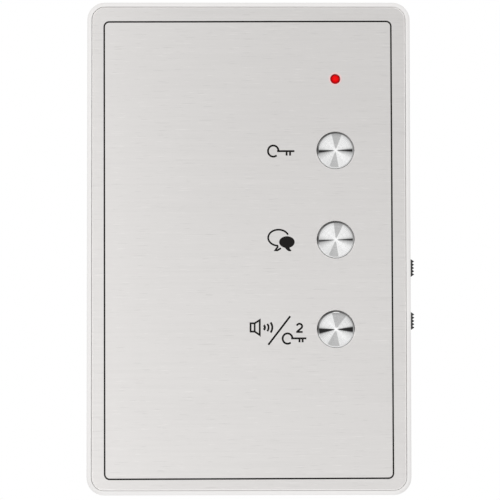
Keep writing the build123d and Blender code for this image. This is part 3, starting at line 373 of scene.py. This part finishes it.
# Painted light and shade on each cap's bevel, a tone at each angle: dark along the top, light along the
# bottom
BEVEL_LIGHT_AND_SHADE = [
    (0, 0.40), (40, 0.36), (65, 0.20), (98, 0.09), (130, 0.13), (150, 0.32), (165, 0.28), (176, 0.12),
    (190, 0.20), (202, 0.45), (215, 0.66), (280, 0.66), (300, 0.60), (330, 0.50), (360, 0.40),
]
# The pale middle of each cap's painted reflection, and the colour of the painted crescent highlight
CAP_MIDDLE = (0.86, 0.86, 0.86)
CAP_GLINT = (0.98, 0.98, 0.97)


def fan_marks(dark, lower_flank, grey_top, grey_bottom, quadrants):
    """A cap's painted reflection: dark wedges at the right and left, grey ones at the top and bottom, and a
    pale quadrant between each two. The wedges are given by the angles of their edges."""
    right_low, right_high, left_low, left_high = dark
    upper_right, upper_left, lower_left, lower_right = quadrants

    def flank(edge, way, soft, tone):
        steps = ((0, FAN_BLACK), *soft, (FLANK_END, tone))
        return [(edge + way * step, level) for step, level in steps][::way]

    def wedge(low, high, before, after):
        return [
            (low - WEDGE_SOFT, before), (low + WEDGE_SOFT, FAN_GREY),
            (high - WEDGE_SOFT, FAN_GREY), (high + WEDGE_SOFT, after),
        ]

    marks = [(0.0, FAN_BLACK)]
    marks += flank(right_high, 1, UPPER_FLANK, upper_right)
    marks += wedge(*grey_top, upper_right, upper_left)
    marks += flank(left_low, -1, UPPER_FLANK, upper_left)
    marks += flank(left_high, 1, lower_flank, lower_left)
    marks += wedge(*grey_bottom, lower_left, lower_right)
    marks += flank(right_low + 360, -1, lower_flank, lower_right)
    return marks


def as_stops(marks):
    """Angles as shares of one turn."""
    return [(degrees / 360, tone) for degrees, tone in marks]


def spun_cap(name, centre, fan, level, glint):
    """A turned metal cap: rings round its middle, a fan of painted reflection in place of the reflections
    turning gives, painted light and shade on the bevel and inward from it, and on one cap a painted crescent
    highlight."""
    look = Look(name, (0.8, 0.8, 0.8), 0.26, metallic=1.0)
    x, _, z = look.axes(look.vector_math("SUBTRACT", look.place(), centre))
    outward = look.vector(x, 0.0, z)
    radius = look.vector_math("LENGTH", outward)
    turns = look.math("DIVIDE", look.math("ARCTAN2", z, x), 2 * math.pi)
    turn = look.math("FRACT", look.math("ADD", turns, 1.0))

    streaks = look.node("ShaderNodeTexNoise", noise_dimensions="2D")
    streaks.inputs["Scale"].default_value = 1.0
    streaks.inputs["Detail"].default_value = 3.0
    around = look.vector(look.math("MULTIPLY", turn, 14.0), look.math("MULTIPLY", radius, 0.25))
    look.link(around, streaks.inputs["Vector"])
    rings = look.node("ShaderNodeTexNoise", noise_dimensions="1D")
    rings.inputs["Scale"].default_value = 2.4
    rings.inputs["Detail"].default_value = 4.0
    look.link(radius, rings.inputs["W"])
    ring = rings.outputs["Fac"]

    # Painted reflection: the fan of tones round the cap, streaked, and brighter towards the middle
    painted_sheen = look.tint(look.ramp(turn, fan), look.spread(streaks.outputs["Fac"], 0.3, 0.7, 0.95, 1.03))
    painted_sheen = look.tint(painted_sheen, look.spread(radius, 1.0, 5.2, 1.08 * level, 0.98 * level))
    painted_sheen = look.mix(look.spread(radius, 0.2, 0.8, 0.0, 1.0), CAP_MIDDLE, painted_sheen)
    # Painted shade: in the upper half, the colour is darker inward from the bevel
    upper = look.spread(z, 0.0, 2.5, 0.0, 1.0)
    painted_sheen = look.tint(painted_sheen, look.spread(radius, CAP_FLAT_R - 0.9, CAP_FLAT_R, 1.0, 0.74), upper)
    # Painted light and shade on the bevel, a tone at each angle
    bevel = look.spread(radius, CAP_FLAT_R - 0.08, CAP_FLAT_R + 0.08, 0.0, 1.0)
    painted_sheen = look.mix(bevel, painted_sheen, look.ramp(turn, as_stops(BEVEL_LIGHT_AND_SHADE)))
    # Painted highlight: a small bright crescent at the top of the lowest cap's bevel
    if glint:
        across = look.math("ABSOLUTE", look.math("SUBTRACT", radius, CAP_FLAT_R + 0.02))
        near_top = look.math("ABSOLUTE", look.math("SUBTRACT", turn, 0.25))
        crescent = look.math(
            "MULTIPLY",
            look.spread(across, 0.09, 0.15, 1.0, 0.0),
            look.spread(near_top, 0.018, 0.040, 1.0, 0.0),
        )
        painted_sheen = look.mix(crescent, painted_sheen, CAP_GLINT)
    look.color(look.tint(painted_sheen, look.spread(ring, 0.3, 0.7, 0.96, 1.03)))

    look.roughness(look.spread(ring, 0.3, 0.7, 0.22, 0.32))
    look.set("Anisotropic", 0.7)
    look.link(look.vector_math("NORMALIZE", outward), look.shader.inputs["Tangent"])
    lower = look.spread(z, -2.5, 0.0, 1.0, 0.0)
    look.flatten(look.math("MULTIPLY", bevel, lower), look.bump(ring, 0.002))
    return look


for name in BUTTONS:
    spot = (BUTTON_X, CAP_FACE_Y, BUTTON_Z[name])
    fan = as_stops(fan_marks(**FANS[name]))
    cap = spun_cap(f"{name}_cap_spun_steel", spot, fan, FAN_LEVEL[name], glint=name == "speaker")
    dress(cap, f"{name}_button_cap")


# The lamp
def lamp_lens():
    """The lit red lamp: a clear red body that glows, darker towards its edge."""
    look = Look("lamp_red_lens", (0.62, 0.0, 0.0), 0.35, Specular_IOR_Level=0.07)
    from_middle = look.math("DIVIDE", look.away((BUTTON_X, LAMP_FRONT_Y, LAMP_Z)), LAMP_DARK_R)
    glow = look.ramp(from_middle, [
        (0.0, (0.71, 0.003, 0.002)), (0.46, (0.68, 0.0, 0.0)), (0.60, (0.50, 0.0, 0.001)),
        (0.74, (0.37, 0.0, 0.002)), (1.0, (0.33, 0.0, 0.004)),
    ])
    look.color(look.mix(0.35, glow, (0.5, 0.0, 0.0)))
    look.link(glow, look.shader.inputs["Emission Color"])
    look.set("Emission Strength", 0.38)
    return look


dress(lamp_lens(), "indicator_lamp")

# Plastic, rubber and card inside and at the side
inner_white = moulded("inner_white_plastic", (0.72, 0.72, 0.70), 0.5, grain=7.0)
dress(inner_white, *[f"{name}_button_plunger" for name in BUTTONS], "talk_volume_lever", "ring_volume_lever")
black = moulded("black_plastic", (0.012, 0.012, 0.013), 0.48, grain=9.0, depth=0.01, cloud=0.1)
dress(black, "push_switch_bases", "slide_switch_bases", "lamp_spacer", "chips")
dress(black, *[f"{name}_switch_stem" for name in BUTTONS])
knob = moulded("knob_black_plastic", (0.018, 0.017, 0.017), 0.42, grain=11.0, depth=0.012, cloud=0.15)
dress(knob, "talk_volume_knob", "ring_volume_knob")
rubber = moulded("rubber_black", (0.018, 0.018, 0.018), 0.7, grain=8.0, depth=0.015)
dress(rubber, "microphone_boot", "speaker_lead", "microphone_lead")
dress(moulded("gasket_card", (0.05, 0.048, 0.045), 0.85, grain=14.0, depth=0.03), "speaker_gasket")
dress(moulded("strip_brown", (0.20, 0.10, 0.04), 0.5, grain=5.0), "speaker_tag_strip")
dress(moulded("film_clear", (0.62, 0.62, 0.58), 0.2, grain=1.0, depth=0.02), "speaker_diaphragm")
dress(moulded("terminal_green", (0.03, 0.24, 0.12), 0.38, grain=7.0), "terminal_block")
dress(moulded("capacitor_sleeve", (0.012, 0.012, 0.03), 0.25, grain=3.0), "capacitors")
dress(moulded("header_ivory", (0.68, 0.63, 0.50), 0.45, grain=6.0), "lead_headers")

# Metal inside and at the back
zinc = metal("zinc_plated_sheet", (0.62, 0.64, 0.67), 0.36, spangle=0.22, streak=(0.6, 2.0, 2.0))
dress(zinc, "wall_bracket")
screw_steel = metal("zinc_plated_screws", (0.60, 0.60, 0.61), 0.28)
dress(screw_steel, "lock_screw", "board_screws", "terminal_screws", "housing_screws")
plated = metal("plated_steel", (0.58, 0.58, 0.58), 0.3, streak=(1.0, 1.0, 6.0))
dress(plated, "push_switch_covers", "slide_switch_shells", "speaker_basket")
tinned = metal("tinned_wire", (0.66, 0.66, 0.65), 0.25)
dress(tinned, "push_switch_legs", "slide_switch_pins", "lamp_leads")
dress(metal("magnet_nickel", (0.52, 0.51, 0.48), 0.3), "speaker_magnet")
dress(metal("contact_brass", (0.72, 0.56, 0.26), 0.25), "terminal_clamps", "speaker_tags")
dress(metal("capsule_aluminium", (0.74, 0.74, 0.75), 0.35, streak=(1.0, 1.0, 8.0)), "microphone_capsule")
dress(metal("coil_copper", (0.62, 0.30, 0.14), 0.3, streak=(0.5, 9.0, 0.5)), "voice_coil")


# The board and the mesh
def solder_mask():
    """The board: green solder mask over copper tracks, with small round vias."""
    look = Look("board_solder_mask", (0.012, 0.09, 0.035), 0.32)
    tracks = look.voronoi((0.28, 1.0, 0.28), distance="MANHATTAN", feature="F2", randomness=0.35)
    line = look.ramp(tracks, [(0.0, 0.0), (0.62, 0.0), (0.66, 1.0), (0.74, 1.0), (0.78, 0.0)])
    dots = look.voronoi((0.30, 1.0, 0.30), randomness=0.9)
    via = look.ramp(dots, [(0.0, 1.0), (0.055, 1.0), (0.07, 0.0)])
    base = look.mix(line, (0.010, 0.085, 0.032), (0.022, 0.15, 0.06))
    look.color(look.mix(via, base, (0.42, 0.34, 0.16)))
    look.roughness(look.spread(look.noise(4.0), 0.3, 0.7, 0.26, 0.4))
    look.bump(line, 0.03)
    return look


def woven_mesh():
    """The dust mesh behind the sound slots: fine dark threads, crossing at right angles."""
    look = Look("dust_mesh", (0.02, 0.02, 0.02), 0.75)
    threads = 9.0  # in radians per millimetre
    _, y, z = look.axes(look.place())
    waves = [look.math("ABSOLUTE", look.math("SINE", look.math("MULTIPLY", at, threads))) for at in (y, z)]
    weave = look.math("MAXIMUM", *waves)
    look.color(look.ramp(weave, [(0.0, 0.002), (0.7, 0.012), (1.0, 0.05)]))
    look.bump(weave, 0.08)
    return look


dress(solder_mask(), "circuit_board")
dress(woven_mesh(), "sound_mesh")


# Printing on the face
def ink_look():
    """Black screen-printing ink, with a trace of grain."""
    look = Look("printed_ink", (0.006, 0.005, 0.005), 0.6, Specular_IOR_Level=0.15)
    grain = look.noise(7.0)
    share = look.spread(grain, 0.35, 0.7, 0.0, 1.0)
    look.color(look.mix(share, (0.004, 0.003, 0.0027), (0.010, 0.0080, 0.0075)))
    look.roughness(look.spread(grain, 0.3, 0.7, 0.52, 0.7))
    look.bump(grain, 0.003)
    return look


INK = ink_look()


def shown(name, mesh):
    """Turns a bmesh into an object of the scene."""
    data = bpy.data.meshes.new(name)
    mesh.to_mesh(data)
    mesh.free()
    made = bpy.data.objects.new(name, data)
    bpy.context.scene.collection.objects.link(made)
    return made


def printed(name, shapes):
    """A thin raised layer of ink from flat shapes, each a list of corners in millimetres."""
    mesh = bmesh.new()
    for shape in shapes:
        mesh.faces.new([mesh.verts.new((x * MM, FACE_Y * MM, z * MM)) for x, z in shape])
    bmesh.ops.remove_doubles(mesh, verts=mesh.verts, dist=1e-7)
    raised = bmesh.ops.extrude_face_region(mesh, geom=mesh.faces[:])["geom"]
    moved = [part for part in raised if isinstance(part, bmesh.types.BMVert)]
    bmesh.ops.translate(mesh, verts=moved, vec=(0.0, -INK_T * MM, 0.0))
    bmesh.ops.recalc_face_normals(mesh, faces=mesh.faces[:])
    piece = shown(name, mesh)
    piece.data.materials.append(INK.material)
    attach(piece, "housing")


def stroke(points, width, closed=False):
    """A line of one width with mitred corners, as a strip of four-cornered shapes."""
    least_cosine = 0.4  # of half a corner's turn, so that a sharp corner's mitre doesn't run out far
    line = [Vector(point) for point in points]
    count = len(line)
    left, right = [], []
    for i, here in enumerate(line):
        before = line[i - 1] if closed or i else None
        after = line[(i + 1) % count] if closed or i < count - 1 else None
        into = (here - before).normalized() if before is not None else (after - here).normalized()
        out = (after - here).normalized() if after is not None else into
        along = (into + out).normalized()
        side = Vector((-along.y, along.x))
        reach = width / 2 / max(least_cosine, side.dot(Vector((-into.y, into.x))))
        left.append(tuple(here + side * reach))
        right.append(tuple(here - side * reach))
    last = count if closed else count - 1
    return [[left[i], left[(i + 1) % count], right[(i + 1) % count], right[i]] for i in range(last)]


def arc(centre, radii, start, end, steps):
    """Points along part of an ellipse, from one angle in degrees to another."""
    angles = [math.radians(start + (end - start) * step / steps) for step in range(steps + 1)]
    (x, z), (across, up) = centre, radii
    return [(x + across * math.cos(angle), z + up * math.sin(angle)) for angle in angles]


def border():
    """The fine dark line printed all round the face, a touch out of square with it."""
    left, right, bottom, top = -43.85, 43.55, -69.96, 69.01
    radius, width = 1.5, 0.48
    skew = 0.00224  # in radians
    points = []
    for x, z, start in (
        (right - radius, top - radius, 0), (left + radius, top - radius, 90),
        (left + radius, bottom + radius, 180), (right - radius, bottom + radius, 270),
    ):
        points += arc((x, z), (radius, radius), start, start + 90, 8)
    return stroke([(x - z * skew, z + x * skew) for x, z in points], width, closed=True)


def key_sign(centre, radii, shaft_x, shaft_z, teeth_x, tooth_z, width):
    """A key seen from the side: an open ring, a shaft between the two shaft_x, and two teeth."""
    ink = stroke(arc(centre, radii, 1, 310, 40), width)
    ink += stroke([(x, shaft_z) for x in shaft_x], width)
    for x in teeth_x:
        ink += stroke([(x, shaft_z - width / 2), (x, tooth_z)], width)
    return ink


def bubbles():
    """Two speech bubbles: one in outline, one filled."""
    outline = arc((9.0, 3.05), (3.13, 2.44), 22, 264, 48)
    outline += [(8.76, 0.26), (8.04, -0.76), (8.66, -0.80), (9.72, -0.14)]
    filled = arc((11.56, 1.72), (2.36, 1.78), 290, 614, 48)
    filled += [
        (11.15, -0.26), (11.5, -0.66), (11.95, -0.98), (12.45, -1.12), (12.90, -1.00), (12.86, -0.70),
        (12.48, -0.42),
    ]
    return stroke(outline, 0.54) + [filled]


def loudspeaker_sign():
    """A loudspeaker with three waves in front of it."""
    back, neck, mouth = 0.48, 1.73, 3.27
    horn = [(back, -22.94), (neck, -22.94), (mouth, -21.97), (mouth, -26.49), (neck, -25.45), (back, -25.45)]
    ink = stroke(horn, 0.56, closed=True) + stroke([(neck, -23.1), (neck, -25.3)], 0.54)
    wave_z = -24.22
    waves = ((4.82, 0.70, 0.34, 0.68), (5.95, 1.10, 0.42, 0.58), (7.07, 1.54, 0.52, 0.61))
    for x, half, bulge, width in waves:
        radius = (half * half + bulge * bulge) / (2 * bulge)
        angle = math.degrees(math.asin(half / radius))
        ink += stroke(arc((x - radius, wave_z), (radius, radius), -angle, angle, 14), width)
    return ink


def figure_two():
    """The figure 2: a bow that runs into a slanting neck, and a foot."""
    bow = arc((15.33, -23.86), (0.80, 0.78), 166, -36, 18)
    return stroke(bow + [(14.68, -25.44)], 0.58) + stroke([(14.34, -25.58), (16.28, -25.58)], 0.56)


unlock_key = key_sign(
    centre=(7.46, 29.44), radii=(1.6, 1.70), shaft_x=(8.62, 13.9), shaft_z=29.42,
    teeth_x=(11.52, 12.57), tooth_z=28.06, width=0.58,
)
second_key = key_sign(
    centre=(11.69, -27.58), radii=(1.48, 1.56), shaft_x=(12.8, 17.42), shaft_z=-27.52,
    teeth_x=(15.32, 16.28), tooth_z=-28.72, width=0.585,
)
printed("face_border_line", border())
printed("unlock_sign", unlock_key)
printed("talk_sign", bubbles())
printed("speaker_sign", loudspeaker_sign())
printed("stroke_sign", stroke([(12.52, -20.80), (5.87, -29.46)], 0.58))
printed("second_unlock_sign", figure_two() + second_key)

# Screws at the back
SCREW_X, SCREW_Z = 41.25, 67.0
SCREW_SEAT_Y = -5.0
HEAD_R, HEAD_H = 2.4, 1.7
HEAD_SIDES = 40
# A head's outline from the top down, as shares of HEAD_R and HEAD_H
HEAD_PROFILE = [(0.45, 0.985), (0.72, 0.90), (0.90, 0.70), (1.0, 0.38), (1.0, 0.0)]
CROSS_TURN = 0.35  # in radians
CROSS_SIZE = (HEAD_R * 1.15, HEAD_H * 0.9, HEAD_R * 0.24)


def pan_heads(places):
    """Rounded screw heads on their seats, as a bmesh."""
    mesh = bmesh.new()
    for x, z in places:
        rings = []
        for out, up in HEAD_PROFILE:
            ring = []
            for step in range(HEAD_SIDES):
                turn = 2 * math.pi * step / HEAD_SIDES
                across, along = out * HEAD_R * math.cos(turn), out * HEAD_R * math.sin(turn)
                point = (x + across, SCREW_SEAT_Y + up * HEAD_H, z + along)
                ring.append(mesh.verts.new([value * MM for value in point]))
            rings.append(ring)
        mesh.faces.new(rings[0])
        mesh.faces.new(rings[-1][::-1])
        for inner, outer in zip(rings, rings[1:]):
            for here in range(HEAD_SIDES):
                after = (here + 1) % HEAD_SIDES
                mesh.faces.new((inner[here], inner[after], outer[after], outer[here]))
    bmesh.ops.recalc_face_normals(mesh, faces=mesh.faces)
    return mesh


def crosses(places):
    """Two crossed bars in the top of each head, as a bmesh."""
    mesh = bmesh.new()
    size = Matrix.Diagonal((*[side * MM for side in CROSS_SIZE], 1.0))
    for x, z in places:
        shift = Matrix.Translation((x * MM, (SCREW_SEAT_Y + HEAD_H * 0.95) * MM, z * MM))
        for turn in (CROSS_TURN, CROSS_TURN + math.pi / 2):
            bar = bmesh.ops.create_cube(mesh, size=1.0)
            spin = Matrix.Rotation(turn, 4, "Y")
            bmesh.ops.transform(mesh, matrix=shift @ spin @ size, verts=bar["verts"])
    return mesh


def cross_screws(name, places):
    """Pan heads with a cross recess, which stand for the plain heads at the back."""
    heads = shown(name, pan_heads(places))
    cutter = shown(name + "_cut", crosses(places))
    cut = heads.modifiers.new("recess", "BOOLEAN")
    cut.operation = "DIFFERENCE"
    cut.solver = "EXACT"
    cut.use_self = True
    cut.object = cutter
    bpy.context.view_layer.update()
    shaped = bpy.data.meshes.new_from_object(heads.evaluated_get(bpy.context.evaluated_depsgraph_get()))
    heads.modifiers.clear()
    heads.data = shaped
    bpy.data.objects.remove(cutter)
    shaped.materials.clear()
    shaped.materials.append(screw_steel.material)
    return heads


SCREWS = [(x, z) for x in (-SCREW_X, SCREW_X) for z in (-SCREW_Z, SCREW_Z)]
heads = cross_screws("housing_screw_heads", SCREWS)
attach(heads, "housing")
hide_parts("housing_screws")

# Stage, lights and camera, in metres
FLOOR_R, FLOOR_Z, FLOOR_SIDES = 2.4, -0.32, 96
FADE_START, FADE_END = 0.45, 1.5  # how far out the floor turns white
WORLD_LIGHT = 0.86
PHOTO_SIDE = 500  # in pixels
FOCAL_LENGTH = 2306.387  # in pixels of the photograph
SENSOR_WIDTH = 36.0  # in millimetres
CAMERA_AT = (-0.00709185, -0.725, -0.02883817)
PITCH, YAW, ROLL = 0.040201, 0.010615, -0.001269  # in radians


def seen_ray(tree):
    """1 where the camera sees a thing, straight, in a reflection or through glass."""
    path = tree.nodes.new("ShaderNodeLightPath")
    value = path.outputs["Is Camera Ray"]
    for name in ("Is Glossy Ray", "Is Transmission Ray"):
        most = tree.nodes.new("ShaderNodeMath")
        most.operation = "MAXIMUM"
        tree.links.new(value, most.inputs[0])
        tree.links.new(path.outputs[name], most.inputs[1])
        value = most.outputs[0]
    return value


def floor():
    """A wide pale floor that fades to the white behind it, and is clear from underneath."""
    look = Look("floor_pale", (0.86, 0.86, 0.86), 0.7)
    look.color(look.mix(look.noise(0.02), (0.85, 0.85, 0.85), (0.88, 0.88, 0.88)))
    tree = look.tree
    far = look.spread(look.vector_math("LENGTH", look.place()), FADE_START / MM, FADE_END / MM, 0.0, 1.0)
    white = look.node("ShaderNodeEmission")
    mixed, one_sided = look.node("ShaderNodeMixShader"), look.node("ShaderNodeMixShader")
    look.link(look.math("MULTIPLY", far, seen_ray(tree)), mixed.inputs[0])
    look.link(look.shader.outputs[0], mixed.inputs[1])
    look.link(white.outputs[0], mixed.inputs[2])
    look.link(look.node("ShaderNodeNewGeometry").outputs["Backfacing"], one_sided.inputs[0])
    look.link(mixed.outputs[0], one_sided.inputs[1])
    look.link(look.node("ShaderNodeBsdfTransparent").outputs[0], one_sided.inputs[2])
    look.link(one_sided.outputs[0], tree.nodes["Material Output"].inputs["Surface"])
    mesh = bpy.data.meshes.new("floor")
    turns = [2 * math.pi * step / FLOOR_SIDES for step in range(FLOOR_SIDES)]
    rim = [(FLOOR_R * math.cos(turn), FLOOR_R * math.sin(turn), 0.0) for turn in turns]
    mesh.from_pydata(rim, [], [tuple(range(FLOOR_SIDES))])
    plane = bpy.data.objects.new("floor", mesh)
    plane.location = (0.0, 0.0, FLOOR_Z)
    mesh.materials.append(look.material)
    bpy.context.scene.collection.objects.link(plane)


def softbox(name, place, size, power):
    """A large soft lamp that points at the object and doesn't stand in the picture."""
    data = bpy.data.lights.new(name, "AREA")
    data.shape = "RECTANGLE"
    data.size, data.size_y = size
    data.energy = power
    made = bpy.data.objects.new(name, data)
    made.location = place
    made.rotation_mode = "QUATERNION"
    made.rotation_quaternion = (-Vector(place)).to_track_quat("-Z", "Y")
    made.visible_camera = False
    bpy.context.scene.collection.objects.link(made)


def world():
    """White where it is seen, straight or in a reflection, and pale grey as light."""
    made = bpy.data.worlds.new("studio")
    bpy.context.scene.world = made
    made.use_nodes = True
    tree = made.node_tree
    light, seen = tree.nodes["Background"], tree.nodes.new("ShaderNodeBackground")
    for background, strength in ((light, WORLD_LIGHT), (seen, 1.0)):
        background.inputs["Color"].default_value = (1.0, 1.0, 1.0, 1.0)
        background.inputs["Strength"].default_value = strength
    mixed = tree.nodes.new("ShaderNodeMixShader")
    tree.links.new(seen_ray(tree), mixed.inputs[0])
    tree.links.new(light.outputs[0], mixed.inputs[1])
    tree.links.new(seen.outputs[0], mixed.inputs[2])
    tree.links.new(mixed.outputs[0], tree.nodes["World Output"].inputs["Surface"])


def camera():
    """A long lens a little below the middle, looking slightly up, as in the photograph."""
    ahead = math.cos(PITCH)
    forward = Vector((math.sin(YAW) * ahead, math.cos(YAW) * ahead, math.sin(PITCH)))
    level = Vector((math.cos(YAW), -math.sin(YAW), 0.0))
    upright = level.cross(forward)
    right = level * math.cos(ROLL) + upright * math.sin(ROLL)
    up = upright * math.cos(ROLL) - level * math.sin(ROLL)
    data = bpy.data.cameras.new("camera")
    data.sensor_width = SENSOR_WIDTH
    data.lens = FOCAL_LENGTH * SENSOR_WIDTH / PHOTO_SIDE
    data.clip_start, data.clip_end = 0.05, 20.0
    made = bpy.data.objects.new("camera", data)
    turn = Matrix((right, up, -forward)).transposed().to_4x4()
    made.matrix_world = Matrix.Translation(CAMERA_AT) @ turn
    bpy.context.scene.collection.objects.link(made)
    bpy.context.scene.camera = made


floor()
world()
softbox("softbox_left", place=(-0.50, -1.0, 0.15), size=(0.8, 0.9), power=1.4)
softbox("softbox_low", place=(0.0, -1.0, -0.19), size=(1.4, 0.2), power=0.74)
camera()
bpy.context.scene.view_settings.view_transform = "Standard"
